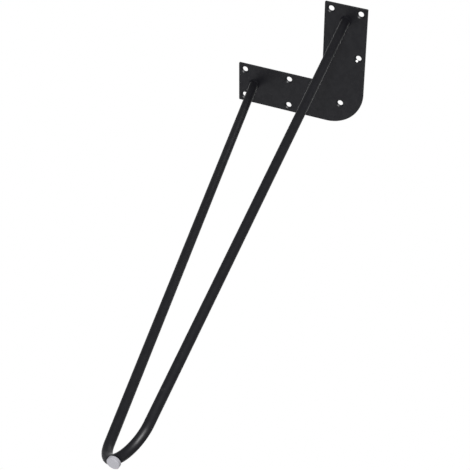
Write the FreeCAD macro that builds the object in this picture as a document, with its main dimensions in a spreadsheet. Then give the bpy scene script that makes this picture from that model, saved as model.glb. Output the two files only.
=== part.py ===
import FreeCAD, Part
import math
import os
import Sketcher

# Two-bar hairpin table leg: an L-shaped mounting plate with nine countersunk screw holes, one round
# steel bar bent into a hairpin and welded to both arms of the L, and a round pad under the bend.
#
# Frame: millimetres, +Z up. The origin is the centre of the corner screw hole on the top face, which
# lies against the table. One arm of the L runs along +X and the other along +Y, the part is its own
# mirror image across the plane X = Y, and the leg goes down and leans out past the rounded corner.

# Driving sizes: lengths in millimetres, and the countersink angle in degrees
driving_sizes = {
    "leg_height": 704.0,             # top face of the plate down to the floor
    "plate_thickness": 3.0,
    "arm_length": 184.0,             # each arm, from the unrounded outer corner to its end
    "arm_width": 60.0,
    "outer_corner_radius": 52.0,
    "corner_round": 1.0,             # the other corners of the outline
    "edge_bevel": 0.4,               # the rims of both faces
    "bore_diameter": 7.8,
    "countersink_diameter": 11.2,
    "countersink_angle": 90.0,
    "hole_end_margin": 9.0,          # end of the arm to the first two holes
    "hole_inner_margin": 9.0,        # inner edge of the arm to the row beside it
    "hole_outer_margin": 9.5,        # outer edge of the arm to the row beside it
    "hole_pair_spacing": 66.5,       # along the arm, from the first two holes to the next two
    "corner_hole_inset": 32.5,       # both outer edges to the corner hole
    "rod_diameter": 12.0,
    "bend_radius": 35.0,             # centreline of the bend
    "weld_inset": 30.0,              # outer edge of the arm to the centre of the rod's end
    "weld_end_distance": 23.0,       # end of the arm to the centre of the rod's end
    "foot_inset": 8.5,               # both outer edges to the lowest point of the bend, seen from above
    "weld_leg": 2.0,                 # width and height of the weld bead
    "weld_toe": 0.3,                 # thickness of the bead where it runs out on the rod
    "pad_inset": 9.3,                # both outer edges to the centre of the pad, seen from above
    "pad_diameter": 15.0,
    "pad_thickness": 4.8,
    "pad_bevel": 0.6,
    "saddle_depth": 0.4,             # how far the rod sits into the top of the pad
}

# Sizes that follow from the driving ones. The hairpin lies in a plane of its own, which leans out from
# the plate to the foot by lean_angle; in that plane each bar spreads from the middle by flare_angle.
derived_sizes = {
    "rod_radius": "rod_diameter / 2",
    "foot_drop": "leg_height - pad_thickness + saddle_depth - rod_radius",
    "foot_offset": "corner_hole_inset - foot_inset",
    "pad_offset": "corner_hole_inset - pad_inset",
    "weld_distance": "arm_length - weld_end_distance",
    "weld_near": "weld_inset - corner_hole_inset",
    "weld_far": "weld_distance - corner_hole_inset",
    "half_span": "(weld_distance - weld_inset) / sqrt(2)",
    "lean_reach": "((weld_distance + weld_inset) / 2 - foot_inset) * sqrt(2)",
    "lean_rise": "foot_drop - plate_thickness",
    "lean_angle": "atan2(lean_reach; lean_rise)",
    "hairpin_height": "sqrt(lean_reach ^ 2 + lean_rise ^ 2)",
    "bend_to_weld": "sqrt(half_span ^ 2 + (hairpin_height - bend_radius) ^ 2)",
    "flare_angle": "atan2(half_span; hairpin_height - bend_radius) - asin(bend_radius / bend_to_weld)",
    "drift_along": "(tan(lean_angle) + tan(flare_angle) / cos(lean_angle)) / sqrt(2)",
    "drift_across": "(tan(lean_angle) - tan(flare_angle) / cos(lean_angle)) / sqrt(2)",
    "hole_end": "arm_length - hole_end_margin",
    "hole_middle": "hole_end - hole_pair_spacing",
    "hole_inner": "arm_width - hole_inner_margin",
}

# The least share of a solid that a cut has to take away, or else it has missed
least_cut = 1e-6

# How far the normal of an upright or a level face may be from true
normal_slack = 1e-6

x_axis = (1, 0, 0)
z_axis = (0, 0, 1)


def make_sheet(doc):
    """The sheet of named sizes that every feature below is bound to."""
    sheet = doc.addObject("Spreadsheet::Sheet", "sizes")
    contents = {name: str(number) for name, number in driving_sizes.items()}
    contents.update({name: "=" + formula for name, formula in derived_sizes.items()})
    for row, (name, content) in enumerate(contents.items(), start=1):
        sheet.set("A%d" % row, name)
        sheet.set("B%d" % row, content)
        sheet.setAlias("B%d" % row, name)
    doc.recompute()
    return sheet


def number_of(value):
    return float(getattr(value, "Value", value))


def vector(x=0, y=0, z=0):
    """A vector as a formula, each coordinate a number or a formula."""
    return "create(<<vector>>; %s; %s; %s)" % (x, y, z)


def rotation(axis, angle):
    return "create(<<rotation>>; %s; %s)" % (vector(*axis), angle)


def placement(position, turn=rotation(z_axis, 0)):
    return "create(<<placement>>; %s; %s)" % (position, turn)


def bind(thing, **formulas):
    for name, formula in formulas.items():
        thing.setExpression(name, formula)


def origin_plane(body, role):
    return [plane for plane in body.Origin.OriginFeatures if plane.Role == role][0]


def new_sketch(body, name, role, offset=None):
    """A sketch on one of the body's own origin planes, moved by the offset formula if there is one."""
    sketch = body.newObject("Sketcher::SketchObject", name)
    sketch.AttachmentSupport = (origin_plane(body, role), [""])
    sketch.MapMode = "FlatFace"
    if offset:
        bind(sketch, AttachmentOffset=offset)
    return sketch


def dimension(sketch, kind, *where, size):
    """A driving constraint whose value is a formula of the sheet."""
    start = number_of(sketch.evalExpression(size))
    number = sketch.addConstraint(Sketcher.Constraint(kind, *where, start))
    sketch.setExpression("Constraints[%d]" % number, size)


def add_circle(sketch, diameter, x=None, y=None):
    """A circle round the point (x, y), given as formulas, or round the sketch's own origin."""
    centre = [number_of(sketch.evalExpression(formula)) if formula else 0 for formula in (x, y)]
    radius = number_of(sketch.evalExpression(diameter)) / 2
    ring = Part.Circle(FreeCAD.Vector(*centre, 0), FreeCAD.Vector(*z_axis), radius)
    circle = sketch.addGeometry(ring, False)
    dimension(sketch, "Diameter", circle, size=diameter)
    if x and y:
        dimension(sketch, "DistanceX", -1, 1, circle, 3, size=x)
        dimension(sketch, "DistanceY", -1, 1, circle, 3, size=y)
    else:
        sketch.addConstraint(Sketcher.Constraint("Coincident", circle, 3, -1, 1))


def check_cut(doc, feature, volume_before):
    """Stop if a feature that cuts has missed its solid."""
    doc.recompute()
    if volume_before - feature.Shape.Volume < least_cut * volume_before:
        raise RuntimeError(feature.Label + " removed nothing")


def faces_beside(shape, edge):
    """The faces that meet at an edge, each with how far its normal points up or down, or None if curved."""
    faces = shape.ancestorsOfType(edge, Part.Face)
    return [abs(face.normalAt(0, 0).z) if isinstance(face.Surface, Part.Plane) else None for face in faces]


def is_sharp_corner(shape, edge):
    """Whether two flat upright sides of a slab meet at the edge."""
    return all(lift is not None and lift < normal_slack for lift in faces_beside(shape, edge))


def is_rim(shape, edge):
    """Whether the edge bounds the top or the bottom of a slab."""
    return any(lift is not None and lift > 1 - normal_slack for lift in faces_beside(shape, edge))


def dress_edges(doc, body, kind, name, base, wanted, **size):
    """A fillet or chamfer on the wanted edges of the base feature."""
    feature = body.newObject("PartDesign::" + kind, name)
    chosen = ["Edge%d" % number for number, edge in enumerate(base.Shape.Edges, start=1)
              if wanted(base.Shape, edge)]
    feature.Base = (base, chosen)
    bind(feature, **size)
    doc.recompute()
    return feature


def outline_sketch(body, sheet):
    """The L of the plate, drawn from its unrounded outer corner, with the large radius on that corner."""
    sketch = new_sketch(body, "plate_outline", "XY_Plane",
                        placement(vector("-sizes.corner_hole_inset", "-sizes.corner_hole_inset")))
    length, width, radius = [number_of(sheet.get(name)) for name in
                             ("arm_length", "arm_width", "outer_corner_radius")]
    corners = [(radius, 0), (length, 0), (length, width), (width, width),
               (width, length), (0, length), (0, radius)]
    points = [FreeCAD.Vector(x, y, 0) for x, y in corners]
    lines = []
    for start, end in zip(points, points[1:]):
        lines.append(sketch.addGeometry(Part.LineSegment(start, end), False))
    corner_circle = Part.Circle(FreeCAD.Vector(radius, radius, 0), FreeCAD.Vector(*z_axis), radius)
    arc = sketch.addGeometry(Part.ArcOfCircle(corner_circle, math.pi, 3 * math.pi / 2), False)
    for line, following in zip(lines, lines[1:]):
        sketch.addConstraint(Sketcher.Constraint("Coincident", line, 2, following, 1))
    sketch.addConstraint(Sketcher.Constraint("Tangent", lines[-1], 2, arc, 1))
    sketch.addConstraint(Sketcher.Constraint("Tangent", arc, 2, lines[0], 1))
    for line, direction in zip(lines, ["Horizontal", "Vertical"] * 3):
        sketch.addConstraint(Sketcher.Constraint(direction, line))
    sketch.addConstraint(Sketcher.Constraint("PointOnObject", lines[0], 2, -1))
    sketch.addConstraint(Sketcher.Constraint("PointOnObject", lines[-1], 1, -2))
    dimension(sketch, "Radius", arc, size="sizes.outer_corner_radius")
    dimension(sketch, "DistanceX", -1, 1, lines[0], 2, size="sizes.arm_length")
    dimension(sketch, "DistanceY", -1, 1, lines[-1], 1, size="sizes.arm_length")
    dimension(sketch, "DistanceX", -1, 1, lines[2], 2, size="sizes.arm_width")
    dimension(sketch, "DistanceY", -1, 1, lines[2], 2, size="sizes.arm_width")
    return sketch


def hole_sketch(body):
    """Centres of the nine holes on the underside: two pairs on each arm and one at the corner."""
    sketch = new_sketch(body, "screw_holes", "XY_Plane",
                        placement(vector("-sizes.corner_hole_inset", "-sizes.corner_hole_inset",
                                         "-sizes.plate_thickness")))
    bore = "sizes.bore_diameter"
    add_circle(sketch, bore, "sizes.corner_hole_inset", "sizes.corner_hole_inset")
    for along in ("sizes.hole_end", "sizes.hole_middle"):
        for across in ("sizes.hole_outer_margin", "sizes.hole_inner"):
            add_circle(sketch, bore, along, across)
            add_circle(sketch, bore, across, along)
    return sketch


def make_plate(doc, sheet):
    """Flat L-shaped plate, its top face at Z = 0, with the countersinks on the underside."""
    body = doc.addObject("PartDesign::Body", "mounting_plate")
    slab = body.newObject("PartDesign::Pad", "plate_slab")
    slab.Profile = outline_sketch(body, sheet)
    slab.Reversed = True
    bind(slab, Length="sizes.plate_thickness")
    doc.recompute()
    corners = dress_edges(doc, body, "Fillet", "plate_corners", slab, is_sharp_corner,
                          Radius="sizes.corner_round")
    rims = dress_edges(doc, body, "Chamfer", "plate_rims", corners, is_rim, Size="sizes.edge_bevel")

    holes = body.newObject("PartDesign::Hole", "countersunk_holes")
    holes.Profile = hole_sketch(body)
    doc.recompute()
    holes.Reversed = True
    holes.Threaded = False
    holes.DepthType = "ThroughAll"
    holes.HoleCutType = "Countersink"
    holes.HoleCutCustomValues = True
    bind(holes, Diameter="sizes.bore_diameter", HoleCutDiameter="sizes.countersink_diameter",
         HoleCutCountersinkAngle="sizes.countersink_angle")
    check_cut(doc, holes, rims.Shape.Volume)
    body.Tip = holes
    return body


def half_path_sketch(body, sheet):
    """Centreline of one half of the hairpin: the bend from its lowest point, then the straight bar,
    tangent to the bend and aimed at the weld centre, and past it by one rod radius."""
    sketch = new_sketch(body, "half_centreline", "XZ_Plane")
    bend_radius, half_span, height, overlap, flare_degrees = [number_of(sheet.get(name)) for name in (
        "bend_radius", "half_span", "hairpin_height", "rod_radius", "flare_angle")]
    flare = math.radians(flare_degrees)
    centre = FreeCAD.Vector(0, bend_radius, 0)
    tangent_point = centre + FreeCAD.Vector(bend_radius * math.cos(flare), -bend_radius * math.sin(flare), 0)
    weld_point = FreeCAD.Vector(half_span, height, 0)
    end_point = weld_point + FreeCAD.Vector(overlap * math.tan(flare), overlap, 0)
    bend_circle = Part.Circle(centre, FreeCAD.Vector(*z_axis), bend_radius)
    arc = sketch.addGeometry(Part.ArcOfCircle(bend_circle, -math.pi / 2, -flare), False)
    bar = sketch.addGeometry(Part.LineSegment(tangent_point, end_point), False)
    target = sketch.addGeometry(Part.Point(weld_point), True)
    sketch.addConstraint(Sketcher.Constraint("Coincident", arc, 1, -1, 1))
    sketch.addConstraint(Sketcher.Constraint("PointOnObject", arc, 3, -2))
    sketch.addConstraint(Sketcher.Constraint("Tangent", arc, 2, bar, 1))
    sketch.addConstraint(Sketcher.Constraint("PointOnObject", target, 1, bar))
    dimension(sketch, "Radius", arc, size="sizes.bend_radius")
    dimension(sketch, "DistanceX", -1, 1, target, 1, size="sizes.half_span")
    dimension(sketch, "DistanceY", -1, 1, target, 1, size="sizes.hairpin_height")
    dimension(sketch, "DistanceY", -1, 1, bar, 2, size="sizes.hairpin_height + sizes.rod_radius")
    return sketch


def trim_sketch(body, sheet):
    """A rectangle in the plane of the plate's underside that covers both ends of the rod."""
    sketch = new_sketch(body, "underside_plane", "XY_Plane",
                        placement(vector(z="sizes.hairpin_height"), rotation(x_axis, "sizes.lean_angle")))
    half_span, rod_diameter = [number_of(sheet.get(name)) for name in ("half_span", "rod_diameter")]
    corners = [FreeCAD.Vector(x * (half_span + rod_diameter), y * rod_diameter, 0)
               for x, y in ((-1, -1), (1, -1), (1, 1), (-1, 1))]
    following = corners[1:] + corners[:1]
    lines = [sketch.addGeometry(Part.LineSegment(start, end), False) for start, end in zip(corners, following)]
    for line, after, direction in zip(lines, lines[1:] + lines[:1], ["Horizontal", "Vertical"] * 2):
        sketch.addConstraint(Sketcher.Constraint("Coincident", line, 2, after, 1))
        sketch.addConstraint(Sketcher.Constraint(direction, line))
    sketch.addConstraint(Sketcher.Constraint("Symmetric", lines[0], 1, lines[1], 2, -1, 1))
    dimension(sketch, "DistanceX", lines[0], 1, lines[0], 2, size="2 * (sizes.half_span + sizes.rod_diameter)")
    dimension(sketch, "DistanceY", lines[1], 1, lines[1], 2, size="2 * sizes.rod_diameter")
    return sketch


def make_rod(doc, sheet):
    """One round bar bent into a hairpin, its ends cut flush with the underside of the plate. The body's
    own X runs across the hairpin and its Z up the lean, from the lowest point of the bend."""
    body = doc.addObject("PartDesign::Body", "hairpin_rod")
    foot = vector("-sizes.foot_offset", "-sizes.foot_offset", "-sizes.foot_drop")
    bind(body, Placement=placement(foot, rotation(z_axis, -45) + " * " + rotation(x_axis, "-sizes.lean_angle")))

    section = new_sketch(body, "rod_section", "YZ_Plane")
    add_circle(section, "sizes.rod_diameter")
    pipe = body.newObject("PartDesign::AdditivePipe", "half_hairpin")
    pipe.Profile = section
    pipe.Spine = half_path_sketch(body, sheet)
    doc.recompute()

    mirrored = body.newObject("PartDesign::Mirrored", "whole_hairpin")
    mirrored.Originals = [pipe]
    mirrored.MirrorPlane = (origin_plane(body, "YZ_Plane"), [""])
    body.Tip = mirrored
    doc.recompute()

    trim = body.newObject("PartDesign::Pocket", "flush_ends")
    trim.Profile = trim_sketch(body, sheet)
    trim.Reversed = True
    bind(trim, Length="2 * sizes.rod_diameter")
    check_cut(doc, trim, mirrored.Shape.Volume)
    body.Tip = trim
    return body


def make_weld(doc, rod, name, x, y, drift_x, drift_y):
    """Fillet weld round one end of the rod: a ring against the underside of the plate that runs out
    on the slanting rod. The drifts are the rod's travel along X and Y for each millimetre up."""
    ring = doc.addObject("PartDesign::Body", name + "_ring")
    bind(ring, Placement=placement(vector(x, y, "-sizes.plate_thickness")))
    on_plate = new_sketch(ring, name + "_on_plate", "XY_Plane")
    add_circle(on_plate, "sizes.rod_diameter + 2 * sizes.weld_leg")
    down_the_rod = vector("-sizes.weld_leg * " + drift_x, "-sizes.weld_leg * " + drift_y, "-sizes.weld_leg")
    on_rod = new_sketch(ring, name + "_on_rod", "XY_Plane", placement(down_the_rod))
    add_circle(on_rod, "sizes.rod_diameter + 2 * sizes.weld_toe")
    cone = ring.newObject("PartDesign::AdditiveLoft", name + "_cone")
    cone.Profile = on_plate
    cone.Sections = [on_rod]
    cone.Ruled = True
    doc.recompute()
    ring.Tip = cone

    bead = doc.addObject("Part::Cut", name)
    bead.Base = ring
    bead.Tool = rod
    check_cut(doc, bead, cone.Shape.Volume)
    return bead


def make_pad(doc, rod):
    """Round floor pad with bevelled rims, and the saddle that the lowest point of the bend sits in."""
    disc = doc.addObject("PartDesign::Body", "pad_disc")
    bind(disc, Placement=placement(vector("-sizes.pad_offset", "-sizes.pad_offset", "-sizes.leg_height")))
    outline = new_sketch(disc, "pad_outline", "XY_Plane")
    add_circle(outline, "sizes.pad_diameter")
    block = disc.newObject("PartDesign::Pad", "pad_block")
    block.Profile = outline
    bind(block, Length="sizes.pad_thickness")
    doc.recompute()
    rims = dress_edges(doc, disc, "Chamfer", "pad_rims", block, is_rim, Size="sizes.pad_bevel")
    disc.Tip = rims

    pad = doc.addObject("Part::Cut", "floor_pad")
    pad.Base = disc
    pad.Tool = rod
    check_cut(doc, pad, rims.Shape.Volume)
    return pad


def check_document(doc):
    doc.recompute()
    for thing in doc.Objects:
        if "Invalid" in thing.State or "Error" in thing.State:
            raise RuntimeError(thing.Name + " failed to build")


def main():
    doc = FreeCAD.newDocument("hairpin_leg")
    sheet = make_sheet(doc)
    plate = make_plate(doc, sheet)
    rod = make_rod(doc, sheet)
    near, far = "sizes.weld_near", "sizes.weld_far"
    along, across = "sizes.drift_along", "sizes.drift_across"
    weld_x = make_weld(doc, rod, "weld_bead_x", far, near, along, across)
    weld_y = make_weld(doc, rod, "weld_bead_y", near, far, across, along)
    pad = make_pad(doc, rod)
    check_document(doc)

    os.makedirs("parts", exist_ok=True)
    for part in (plate, rod, weld_x, weld_y, pad):
        if part.Shape.isNull() or not part.Shape.isValid() or len(part.Shape.Solids) != 1:
            raise RuntimeError(part.Label + " is not one valid solid")
        part.Shape.exportStep("parts/%s.step" % part.Label)
        print("%s: %.1f mm3" % (part.Label, part.Shape.Volume))


main()
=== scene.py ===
import math

import bpy
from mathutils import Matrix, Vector


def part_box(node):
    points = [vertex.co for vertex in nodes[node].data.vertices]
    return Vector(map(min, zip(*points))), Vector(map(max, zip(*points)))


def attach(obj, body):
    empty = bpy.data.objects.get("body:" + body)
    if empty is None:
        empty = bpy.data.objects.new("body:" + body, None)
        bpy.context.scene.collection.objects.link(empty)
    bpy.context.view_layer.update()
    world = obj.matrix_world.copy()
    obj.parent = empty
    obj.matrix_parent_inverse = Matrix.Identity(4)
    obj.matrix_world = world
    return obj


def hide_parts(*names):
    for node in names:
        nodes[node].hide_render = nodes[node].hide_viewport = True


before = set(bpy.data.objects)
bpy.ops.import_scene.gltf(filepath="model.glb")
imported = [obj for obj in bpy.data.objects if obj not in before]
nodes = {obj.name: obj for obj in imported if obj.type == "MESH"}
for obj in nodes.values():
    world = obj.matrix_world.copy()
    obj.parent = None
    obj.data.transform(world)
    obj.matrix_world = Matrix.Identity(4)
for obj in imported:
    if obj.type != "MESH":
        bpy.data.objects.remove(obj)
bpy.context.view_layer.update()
print("frame loaded: " + ", ".join(sorted(nodes)))

# lengths are in metres, apart from those whose name ends in Mm
mm = 0.001
mmInMetre = 1000


# helpers for node trees: sources are what goes into a node's sockets, by name or by number

def feed(tree, socket, source):
    # a socket takes either a link or a plain value
    if isinstance(source, bpy.types.NodeSocket):
        tree.links.new(source, socket)
    else:
        socket.default_value = source


def addNode(tree, kind, sources=None, **settings):
    node = tree.nodes.new(kind)
    for name, value in settings.items():
        setattr(node, name, value)
    for socketName, source in (sources or {}).items():
        feed(tree, node.inputs[socketName], source)
    return node


def maths(tree, operation, *sources):
    return addNode(tree, "ShaderNodeMath", dict(enumerate(sources)), operation=operation).outputs[0]


def plus(tree, first, second):
    return maths(tree, "ADD", first, second)


def minus(tree, first, second):
    return maths(tree, "SUBTRACT", first, second)


def times(tree, first, second):
    return maths(tree, "MULTIPLY", first, second)


def spread(tree, value, low, high, lowGives=0.0, highGives=1.0):
    # what lies between low and high goes smoothly from lowGives to highGives
    sources = {"Value": value, "From Min": low, "From Max": high, "To Min": lowGives, "To Max": highGives}
    node = addNode(tree, "ShaderNodeMapRange", sources, interpolation_type="SMOOTHSTEP")
    return node.outputs["Result"]


def noise(tree, vector, scale, detail, roughness=0.5):
    sources = {"Vector": vector, "Scale": scale, "Detail": detail, "Roughness": roughness}
    return addNode(tree, "ShaderNodeTexNoise", sources).outputs["Fac"]


def blendColours(tree, factor, first, second):
    # of this node's sockets, 6 and 7 take the colours and 2 gives their blend
    node = addNode(tree, "ShaderNodeMix", {0: factor, 6: first, 7: second}, data_type="RGBA")
    return node.outputs[2]


def vectorMaths(tree, operation, sources, result="Vector"):
    return addNode(tree, "ShaderNodeVectorMath", sources, operation=operation).outputs[result]


def newTree(name, treeType, inputs, outputs):
    tree = bpy.data.node_groups.new(name, treeType)
    for label, socketType in inputs.items():
        tree.interface.new_socket(label, in_out="INPUT", socket_type="NodeSocket" + socketType)
    for label, socketType in outputs.items():
        tree.interface.new_socket(label, in_out="OUTPUT", socket_type="NodeSocket" + socketType)
    given = addNode(tree, "NodeGroupInput").outputs
    result = addNode(tree, "NodeGroupOutput").inputs
    return tree, given, result


def placeGroup(tree, group, place, look):
    # a group's inputs have the same names as the values in the look
    node = addNode(tree, "ShaderNodeGroup", {"Vector": place}, node_tree=group)
    for socket in node.inputs:
        if socket.name in look:
            socket.default_value = look[socket.name]
    return node.outputs


def emptyTree(owner):
    owner.use_nodes = True
    owner.node_tree.nodes.clear()
    return owner.node_tree


editorGrid = {"columnWidth": 200, "rowHeight": 220}


def arrange(tree):
    # in the node editor, each node stands in a column to the right of all that feeds it
    columns = {node.name: 0 for node in tree.nodes}
    for _ in tree.nodes:          # no chain is longer than that
        for link in tree.links:
            after = columns[link.from_node.name] + 1
            columns[link.to_node.name] = max(columns[link.to_node.name], after)
    rows = {}
    for name, column in columns.items():
        row = rows.get(column, 0)
        rows[column] = row + 1
        tree.nodes[name].location = (column * editorGrid["columnWidth"], -row * editorGrid["rowHeight"])


# the grain of a sprayed or moulded skin, shared by all finishes

grainLook = {
    "peelDetail": 1,
    "gritDetail": 2,
    "swellScale": 34,             # swells about 30 mm apart change the tone
    "swellRoughness": 0.6,
    "swellShare": 0.55,           # of the tone, and the grit has the rest
    "toneLow": 0.36,              # the noise levels that give the deepest and the palest tone
    "toneHigh": 0.64,
    "patchScale": 130,            # patches about 8 mm apart change the gloss
    "patchRoughness": 0.65,
    "patchLow": 0.34,             # the noise levels that give the least and the most gloss
    "patchHigh": 0.66,
    "slowDetail": 3,              # of the swells and the patches
}


def buildGrain(look):
    # slow swells, an orange peel and a fine grit
    tree, given, result = newTree(
        "surfaceGrain", "ShaderNodeTree",
        {"Vector": "Vector", "peelMm": "Float", "gritMm": "Float", "gritShare": "Float"},
        {"Height": "Float", "Tone": "Float", "Gloss": "Float"})
    vector = given["Vector"]
    peelScale = maths(tree, "DIVIDE", mmInMetre, given["peelMm"])
    gritScale = maths(tree, "DIVIDE", mmInMetre, given["gritMm"])
    peel = noise(tree, vector, peelScale, look["peelDetail"])
    grit = noise(tree, vector, gritScale, look["gritDetail"])
    swell = noise(tree, vector, look["swellScale"], look["slowDetail"], look["swellRoughness"])
    patches = noise(tree, vector, look["patchScale"], look["slowDetail"], look["patchRoughness"])
    feed(tree, result["Height"], plus(tree, peel, times(tree, grit, given["gritShare"])))
    swellTone = times(tree, swell, look["swellShare"])
    gritTone = times(tree, grit, 1 - look["swellShare"])
    tone = spread(tree, plus(tree, swellTone, gritTone), look["toneLow"], look["toneHigh"])
    feed(tree, result["Tone"], tone)
    feed(tree, result["Gloss"], spread(tree, patches, look["patchLow"], look["patchHigh"]))
    arrange(tree)
    return tree


# what packing, handling and a shelf leave on it, shared by all finishes

marksLook = {
    "cellWidth": 5,               # in specks of dust, and a cell holds one speck at most
    "speckInner": 0.05,           # in cells: where a speck starts to fade, and where it ends
    "speckOuter": 0.14,
    "scuffTurn": (0.4, 0.9, 0.7),
    "scuffStretch": (1.0, 6.0, 2.5),
    "scuffScale": 95,
    "scuffDetail": 2,
    "scuffHalfWidth": 0.012,      # in noise levels
    "handledScale": 60,           # scuffs lie in places about 17 mm apart
    "handledDetail": 1,
    "handledLevel": 0.75,         # a noise level, which the scuffs' share lowers
    "handledFade": 0.06,
}


def buildHandling(look):
    # fine dust that has settled, and short scuffs
    tree, given, result = newTree(
        "handlingMarks", "ShaderNodeTree",
        {"Vector": "Vector", "dustMm": "Float", "dustShare": "Float", "scuffShare": "Float"},
        {"Dust": "Float", "Scuff": "Float"})
    vector = given["Vector"]
    cellScale = maths(tree, "DIVIDE", mmInMetre / look["cellWidth"], given["dustMm"])
    specks = addNode(tree, "ShaderNodeTexVoronoi", {"Vector": vector, "Scale": cellScale}).outputs
    speckMask = spread(tree, specks["Distance"], look["speckInner"], look["speckOuter"], 1.0, 0.0)
    chosen = maths(tree, "LESS_THAN", specks["Color"], given["dustShare"])
    feed(tree, result["Dust"], times(tree, speckMask, chosen))
    # a scuff is a thin line where a stretched noise passes through its middle level
    mapping = {"Vector": vector, "Rotation": look["scuffTurn"], "Scale": look["scuffStretch"]}
    stretched = addNode(tree, "ShaderNodeMapping", mapping).outputs["Vector"]
    lines = noise(tree, stretched, look["scuffScale"], look["scuffDetail"])
    offMiddle = maths(tree, "ABSOLUTE", minus(tree, lines, 0.5))
    thin = spread(tree, offMiddle, 0.0, look["scuffHalfWidth"], 1.0, 0.0)
    handled = noise(tree, vector, look["handledScale"], look["handledDetail"])
    level = minus(tree, look["handledLevel"], given["scuffShare"])
    there = spread(tree, handled, level, plus(tree, level, look["handledFade"]))
    feed(tree, result["Scuff"], times(tree, thin, there))
    arrange(tree)
    return tree


surfaceGrain = buildGrain(grainLook)
handlingMarks = buildHandling(marksLook)


# the finishes: black powder coat on all the steel, and the pad's light grey plastic

powderCoat = {
    "name": "blackPowderCoat",
    "deepColour": (0.0052, 0.0052, 0.0070, 1),
    "paleColour": (0.0068, 0.0068, 0.0088, 1),
    "dustColour": (0.12, 0.116, 0.112, 1),
    "scuffColour": (0.045, 0.045, 0.046, 1),
    "peelMm": 1.1,
    "gritMm": 0.28,
    "gritShare": 0.35,
    "bumpMm": 0.03,
    "bumpStrength": 0.5,
    "roughest": 0.66,
    "smoothest": 0.56,
    "specularLevel": 0.0,
    "skin": {                     # the smooth top of the coat, which gives all of its gloss
        "least": 0.031,
        "most": 0.037,
        "roughness": 0.43,
        "ior": 3.0,
    },
    "rim": {                      # the pale lines along the bar's outer edges
        "share": 0.16,
        "roughness": 0.36,
    },
    "dustMm": 0.5,
    "dustShare": 0.04,
    "dustRoughness": 0.8,
    "scuffShare": 0.05,
    "chip": {                     # bare steel in one countersink of the Y arm
        "centre": (-21.2 * mm, 72.1 * mm, -2.5 * mm),
        "reachMm": 1.5,
        "raggedMm": 1.2,
        "raggedScale": 900,
        "raggedDetail": 2,
        "edgeMm": 0.1,
        "colour": (0.19, 0.187, 0.183, 1),
        "roughness": 0.55,
    },
}
# rougher on the welds, where the coat lies over spatter and ripples
weldCoat = {
    **powderCoat,
    "name": "blackWeldCoat",
    "skin": {
        "least": 0.014,
        "most": 0.020,
        "roughness": 0.6,
        "ior": 3.0,
    },
    "rim": {
        "share": 0.05,
        "roughness": 0.36,
    },
    "chip": None,
}
padPlastic = {
    "name": "greyPadPlastic",
    "deepColour": (0.386, 0.382, 0.412, 1),
    "paleColour": (0.403, 0.400, 0.431, 1),
    "dustColour": (0.32, 0.31, 0.31, 1),
    "scuffColour": (0.46, 0.46, 0.49, 1),
    "peelMm": 2.2,
    "gritMm": 0.3,
    "gritShare": 0.25,
    "bumpMm": 0.012,
    "bumpStrength": 0.5,
    "roughest": 0.62,
    "smoothest": 0.50,
    "specularLevel": 0.15,
    "skin": None,
    "rim": None,
    "dustMm": 0.4,
    "dustShare": 0.04,
    "dustRoughness": 0.8,
    "scuffShare": 0.12,
    "chip": None,
}


def chipMask(tree, place, chip):
    # a ragged spot round the chip's centre
    apart = vectorMaths(tree, "DISTANCE", {0: place, 1: chip["centre"]}, "Value")
    ragged = noise(tree, place, chip["raggedScale"], chip["raggedDetail"])
    edge = plus(tree, apart, times(tree, ragged, chip["raggedMm"] * mm))
    reach = (chip["reachMm"] + chip["raggedMm"] / 2) * mm
    softness = chip["edgeMm"] * mm
    return spread(tree, edge, reach - softness, reach + softness, 1.0, 0.0)


def makeFinish(look):
    material = bpy.data.materials.new(look["name"])
    tree = emptyTree(material)
    place = addNode(tree, "ShaderNodeTexCoord").outputs["Object"]
    grain = placeGroup(tree, surfaceGrain, place, look)
    marks = placeGroup(tree, handlingMarks, place, look)
    colour = blendColours(tree, grain["Tone"], look["deepColour"], look["paleColour"])
    colour = blendColours(tree, marks["Scuff"], colour, look["scuffColour"])
    colour = blendColours(tree, marks["Dust"], colour, look["dustColour"])
    rough = spread(tree, grain["Gloss"], 0.0, 1.0, look["roughest"], look["smoothest"])
    rough = maths(tree, "MAXIMUM", rough, times(tree, marks["Dust"], look["dustRoughness"]))
    bump = addNode(tree, "ShaderNodeBump", {
        "Strength": look["bumpStrength"],
        "Distance": look["bumpMm"] * mm,
        "Height": grain["Height"],
    })
    shader = addNode(tree, "ShaderNodeBsdfPrincipled", {
        "Specular IOR Level": look["specularLevel"],
        "Normal": bump.outputs["Normal"],
    })
    if look["chip"]:
        chip = look["chip"]
        bare = chipMask(tree, place, chip)
        colour = blendColours(tree, bare, colour, chip["colour"])
        rough = spread(tree, bare, 0.0, 1.0, rough, chip["roughness"])
        feed(tree, shader.inputs["Metallic"], bare)
    if look["skin"]:
        skin = look["skin"]
        weight = spread(tree, grain["Gloss"], 0.0, 1.0, skin["least"], skin["most"])
        feed(tree, shader.inputs["Coat Weight"], weight)
        feed(tree, shader.inputs["Coat Roughness"], skin["roughness"])
        feed(tree, shader.inputs["Coat IOR"], skin["ior"])
    if look["rim"]:
        feed(tree, shader.inputs["Sheen Weight"], look["rim"]["share"])
        feed(tree, shader.inputs["Sheen Roughness"], look["rim"]["roughness"])
    feed(tree, shader.inputs["Base Color"], colour)
    feed(tree, shader.inputs["Roughness"], rough)
    addNode(tree, "ShaderNodeOutputMaterial", {"Surface": shader.outputs["BSDF"]})
    arrange(tree)
    return material


def dress(piece, material):
    piece.data.materials.clear()
    piece.data.materials.append(material)


coatMaterial = makeFinish(powderCoat)
weldMaterial = makeFinish(weldCoat)
padMaterial = makeFinish(padPlastic)
finishes = {
    "mounting_plate": coatMaterial,
    "hairpin_rod": coatMaterial,
    "weld_bead_x": weldMaterial,
    "weld_bead_y": weldMaterial,
    "floor_pad": padMaterial,
}
for nodeName, finish in finishes.items():
    dress(nodes[nodeName], finish)
print("finishes: black powder coat on the steel, light grey plastic on the pad")


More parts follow.
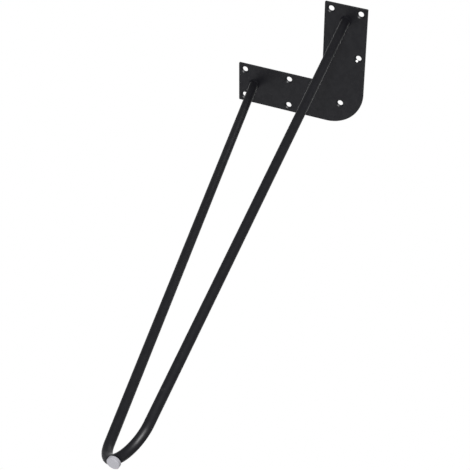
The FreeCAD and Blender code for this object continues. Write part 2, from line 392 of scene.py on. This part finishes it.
# rows of overlapping weld ripples round the bar's two ends

weldBead = {
    "barRadius": 6.0 * mm,
    "leg": 2.0 * mm,
    "ripples": 23,
    "rippleDepth": 0.28 * mm,
    "rippleSlant": 0.42,
    "unevenness": 0.35,
    "sink": 0.35 * mm,            # how far the bead reaches into the bar and the plate
    "aroundSteps": 276,
    "acrossSteps": 18,
}
# where the bar stands on the X arm, and how far it leans along X and Y for each unit down;
# the Y arm is the mirror image
barCentre = (128.5 * mm, -2.5 * mm)
barLean = (-0.1882, -0.0643)
weldPlaces = {
    "weldRippleX": {
        "centre": barCentre,
        "lean": barLean,
        "seed": 3.0,
        "replaced": "weld_bead_x",
    },
    "weldRippleY": {
        "centre": barCentre[::-1],
        "lean": barLean[::-1],
        "seed": 8.0,
        "replaced": "weld_bead_y",
    },
}
weldShape = {
    "ringRadius": 1.0,            # of the plain ring that becomes the bead
    "sectionRadius": 0.25,
    "wanderScale": 2.2,           # how fast the spacing of the ripples wanders on the way round
    "wanderDetail": 1.0,
    "wanderReach": 4.0,           # in ripples, from one end to the other, for an unevenness of 1
    "bowSpread": 1.3,             # how strongly the front of a ripple is curved
    "evenLevel": 0.75,            # at this part of a ripple's height, the bead has its plain size
    "swelling": 0.12,             # how much of the wandering shows in the bead's width
    "openPower": 4.0,             # how suddenly the open side turns flatter
    "openFlattening": 0.085,
    "openLift": 0.7,              # how much of the ripples shows there
    "fullness": 1.25,             # how far the bead swells past half its leg
}


def sweepRing(tree, size, shape):
    ring = addNode(tree, "GeometryNodeCurvePrimitiveCircle",
                   {"Resolution": size["aroundSteps"], "Radius": shape["ringRadius"]}, mode="RADIUS")
    section = addNode(tree, "GeometryNodeCurvePrimitiveCircle",
                      {"Resolution": size["acrossSteps"], "Radius": shape["sectionRadius"]}, mode="RADIUS")
    swept = addNode(tree, "GeometryNodeCurveToMesh",
                    {"Curve": ring.outputs["Curve"], "Profile Curve": section.outputs["Curve"]})
    return swept.outputs["Mesh"]


def raiseRipples(tree, size, shape, at, around, across):
    # one ripple rises sharply and falls off to the next, and its front is curved
    wander = addNode(tree, "ShaderNodeTexNoise",
                     {"Vector": at, "W": size["seed"], "Scale": shape["wanderScale"],
                      "Detail": shape["wanderDetail"]}, noise_dimensions="4D").outputs["Fac"]
    loose = times(tree, minus(tree, wander, 0.5), times(tree, size["unevenness"], shape["wanderReach"]))
    offMiddle = minus(tree, across, math.pi / 4)
    bow = maths(tree, "COSINE", times(tree, offMiddle, shape["bowSpread"]))
    count = times(tree, maths(tree, "DIVIDE", around, 2 * math.pi), size["ripples"])
    slanted = plus(tree, count, times(tree, bow, size["rippleSlant"]))
    share = maths(tree, "FRACT", plus(tree, slanted, loose))
    rise = maths(tree, "SQRT", minus(tree, 1.0, times(tree, share, share)))
    lift = times(tree, minus(tree, rise, shape["evenLevel"]), size["rippleDepth"])
    return lift, loose


def shapeSection(tree, size, shape, across, lift, loose):
    # a fillet between the bar and the plate, sunk a little into both, and flatter on its open side
    swelling = plus(tree, 1.0, times(tree, loose, shape["swelling"]))
    half = times(tree, times(tree, size["leg"], swelling), 0.5)
    cosAcross = maths(tree, "COSINE", across)
    sinAcross = maths(tree, "SINE", across)
    openSide = maths(tree, "MAXIMUM", plus(tree, cosAcross, sinAcross), 0.0)
    flattening = times(tree, maths(tree, "POWER", openSide, shape["openPower"]), shape["openFlattening"])
    plain = times(tree, half, minus(tree, 1.0, flattening))
    raised = times(tree, lift, times(tree, openSide, shape["openLift"]))
    full = times(tree, plus(tree, plain, raised), shape["fullness"])
    outwards = plus(tree, plus(tree, size["barRadius"], half), times(tree, cosAcross, full))
    downwards = plus(tree, half, times(tree, sinAcross, full))
    return minus(tree, outwards, size["sink"]), minus(tree, downwards, size["sink"])


def placeBead(tree, size, around, radius, below):
    # round the bar, which leans away on its way down
    alongX = times(tree, maths(tree, "COSINE", around), radius)
    alongY = times(tree, maths(tree, "SINE", around), radius)
    alongZ = times(tree, below, -1.0)
    upright = addNode(tree, "ShaderNodeCombineXYZ", {"X": alongX, "Y": alongY, "Z": alongZ}).outputs[0]
    shift = vectorMaths(tree, "SCALE", {0: size["lean"], "Scale": below})
    leaning = vectorMaths(tree, "ADD", {0: upright, 1: shift})
    return vectorMaths(tree, "ADD", {0: leaning, 1: size["centre"]})


def buildWeldTree(shape):
    tree, size, result = newTree(
        "weldRipples", "GeometryNodeTree",
        {"Geometry": "Geometry", "barRadius": "Float", "leg": "Float", "ripples": "Float",
         "rippleDepth": "Float", "rippleSlant": "Float", "unevenness": "Float", "sink": "Float",
         "aroundSteps": "Int", "acrossSteps": "Int", "centre": "Vector", "lean": "Vector",
         "seed": "Float", "finish": "Material"},
        {"Geometry": "Geometry"})
    ring = sweepRing(tree, size, shape)
    # the plain ring's own angles say where each point goes in the bead
    at = addNode(tree, "GeometryNodeInputPosition").outputs["Position"]
    x, y, z = addNode(tree, "ShaderNodeSeparateXYZ", {"Vector": at}).outputs
    around = maths(tree, "ARCTAN2", y, x)
    fromAxis = maths(tree, "SQRT", plus(tree, times(tree, x, x), times(tree, y, y)))
    across = maths(tree, "ARCTAN2", z, minus(tree, fromAxis, shape["ringRadius"]))  # 0 outwards, then down
    lift, loose = raiseRipples(tree, size, shape, at, around, across)
    radius, below = shapeSection(tree, size, shape, across, lift, loose)
    position = placeBead(tree, size, around, radius, below)
    placed = addNode(tree, "GeometryNodeSetPosition", {"Geometry": ring, "Position": position})
    # the placing turns the ring inside out, so its faces are turned back
    turned = addNode(tree, "GeometryNodeFlipFaces", {"Mesh": placed.outputs["Geometry"]})
    smooth = addNode(tree, "GeometryNodeSetShadeSmooth", {"Geometry": turned.outputs["Mesh"]})
    real = addNode(tree, "GeometryNodeRealizeInstances", {"Geometry": smooth.outputs["Geometry"]})
    coated = addNode(tree, "GeometryNodeSetMaterial",
                     {"Geometry": real.outputs["Geometry"], "Material": size["finish"]})
    feed(tree, result["Geometry"], coated.outputs["Geometry"])
    arrange(tree)
    return tree


def meshFromTree(name, tree, values):
    maker = bpy.data.objects.new(name, bpy.data.meshes.new(name))
    bpy.context.scene.collection.objects.link(maker)
    modifier = maker.modifiers.new("nodes", "NODES")
    modifier.node_group = tree
    for item in tree.interface.items_tree:
        if item.item_type == "SOCKET" and item.in_out == "INPUT" and item.name in values:
            modifier[item.identifier] = values[item.name]
    bpy.context.view_layer.update()
    ready = maker.evaluated_get(bpy.context.evaluated_depsgraph_get())
    mesh = bpy.data.meshes.new_from_object(ready)
    mesh.name = name
    maker.modifiers.clear()
    maker.data = mesh
    return maker


weldTree = buildWeldTree(weldShape)
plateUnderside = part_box("mounting_plate")[0].z
for pieceName, spot in weldPlaces.items():
    values = {
        **weldBead,
        "centre": (*spot["centre"], plateUnderside),
        "lean": (*spot["lean"], 0.0),
        "seed": spot["seed"],
        "finish": weldMaterial,
    }
    bead = meshFromTree(pieceName, weldTree, values)
    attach(bead, "root")
    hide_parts(spot["replaced"])
print("welds: " + ", ".join(weldPlaces))


# seen from above only, so that the view from below keeps plain white round the leg

floorLook = {
    "belowPad": 0.2 * mm,
    "halfWidth": 2.2,
    "colour": (0.90, 0.90, 0.90, 1),
    "solidShare": 0.65,           # the rest shows the white behind it
    "solidRadius": 0.35,
    "fadeRadius": 1.6,
}


def makeFloorPaper(look):
    material = bpy.data.materials.new("floorPaper")
    tree = emptyTree(material)
    paper = addNode(tree, "ShaderNodeBsdfDiffuse", {"Color": look["colour"]})
    clear = addNode(tree, "ShaderNodeBsdfTransparent")
    place = addNode(tree, "ShaderNodeTexCoord").outputs["Object"]
    flat = vectorMaths(tree, "MULTIPLY", {0: place, 1: (1, 1, 0)})
    fromMiddle = vectorMaths(tree, "LENGTH", {0: flat}, "Value")
    kept = spread(tree, fromMiddle, look["solidRadius"], look["fadeRadius"], look["solidShare"], 0.0)
    rays = addNode(tree, "ShaderNodeLightPath").outputs
    side = addNode(tree, "ShaderNodeNewGeometry").outputs
    seen = times(tree, rays["Is Camera Ray"], minus(tree, 1.0, side["Backfacing"]))
    mixed = addNode(tree, "ShaderNodeMixShader",
                    {0: times(tree, seen, kept), 1: clear.outputs["BSDF"], 2: paper.outputs["BSDF"]})
    addNode(tree, "ShaderNodeOutputMaterial", {"Surface": mixed.outputs["Shader"]})
    arrange(tree)
    return material


def makeFloor(look):
    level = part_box("floor_pad")[0].z - look["belowPad"]
    reach = look["halfWidth"]
    corners = [(-reach, -reach, level), (reach, -reach, level),
               (reach, reach, level), (-reach, reach, level)]
    mesh = bpy.data.meshes.new("studioFloor")
    mesh.from_pydata(corners, [], [(0, 1, 2, 3)])
    floor = bpy.data.objects.new("studioFloor", mesh)
    bpy.context.scene.collection.objects.link(floor)
    dress(floor, makeFloorPaper(look))


makeFloor(floorLook)
print("floor: pale paper under the pad")


surroundings = {
    "colour": (1, 1, 1, 1),
    "seenLevel": 1.0,             # what the camera and the gloss see
    "fillLevel": 0.20,            # what the matt colours get
}


def makeWorld(look):
    world = bpy.data.worlds.new("whiteTent")
    bpy.context.scene.world = world
    tree = emptyTree(world)
    rays = addNode(tree, "ShaderNodeLightPath").outputs
    seen = maths(tree, "MAXIMUM", rays["Is Camera Ray"], rays["Is Glossy Ray"])
    level = spread(tree, seen, 0.0, 1.0, look["fillLevel"], look["seenLevel"])
    light = addNode(tree, "ShaderNodeBackground", {"Color": look["colour"], "Strength": level})
    addNode(tree, "ShaderNodeOutputWorld", {"Surface": light.outputs["Background"]})
    arrange(tree)


makeWorld(surroundings)


# share: how bright each lamp makes a white surface that faces it at the aim

lamps = {
    "frontSoftBox": {"aim": (-0.02, -0.02, -0.66), "towards": (-0.30, 0.77, -0.55), "away": 3.8,
                     "width": 0.9, "share": 1.2},
    "frontSheen": {"aim": (-0.02, -0.02, -0.66), "towards": (-0.32, 0.78, -0.50), "away": 1.9,
                   "width": 1.15, "share": 5.2, "glossOnly": True,
                   "only": ("mounting_plate", "hairpin_rod")},
    "lowSoftBox": {"aim": (0.05, 0.05, 0.0), "towards": (0.28, -0.53, -0.80), "away": 2.2,
                   "width": 1.3, "share": 0.26},
    "topSoftBox": {"aim": (0.05, 0.05, -0.30), "towards": (-0.06, 0.20, 1.0), "away": 2.0,
                   "width": 1.1, "share": 0.88},
}


def addLamp(name, look):
    towards = Vector(look["towards"]).normalized()
    light = bpy.data.lights.new(name, "AREA")
    light.shape = "SQUARE"
    light.size = look["width"]
    light.energy = look["share"] * (math.pi * look["away"]) ** 2
    lamp = bpy.data.objects.new(name, light)
    bpy.context.scene.collection.objects.link(lamp)
    lamp.location = Vector(look["aim"]) + towards * look["away"]
    lamp.rotation_euler = towards.to_track_quat("Z", "Y").to_euler()
    lamp.visible_camera = False
    lamp.visible_diffuse = not look.get("glossOnly", False)
    if "only" in look:
        lit = bpy.data.collections.new(name + "Lights")
        for nodeName in look["only"]:
            lit.objects.link(nodes[nodeName])
        lamp.light_linking.receiver_collection = lit


for lampName, lampLook in lamps.items():
    addLamp(lampName, lampLook)
print("light: white surroundings and " + ", ".join(lamps))


# the photograph's place, below the foot and looking up at the plate

cameraLook = {
    "place": (-0.57433, 1.08693, -1.60176),
    "turnDegrees": (142.0925, -24.4943, -179.8121),
    "lensMm": 112.046,
    "sensorMm": 36.0,
    "nearest": 0.05,
    "farthest": 20.0,
}


def makeCamera(look):
    view = bpy.data.cameras.new("photoCamera")
    view.lens = look["lensMm"]
    view.sensor_width = look["sensorMm"]
    view.clip_start = look["nearest"]
    view.clip_end = look["farthest"]
    camera = bpy.data.objects.new("photoCamera", view)
    bpy.context.scene.collection.objects.link(camera)
    camera.location = look["place"]
    camera.rotation_euler = [math.radians(turn) for turn in look["turnDegrees"]]
    bpy.context.scene.camera = camera


makeCamera(cameraLook)
bpy.context.scene.view_settings.view_transform = "Standard"
print("camera: set at the photograph's place")
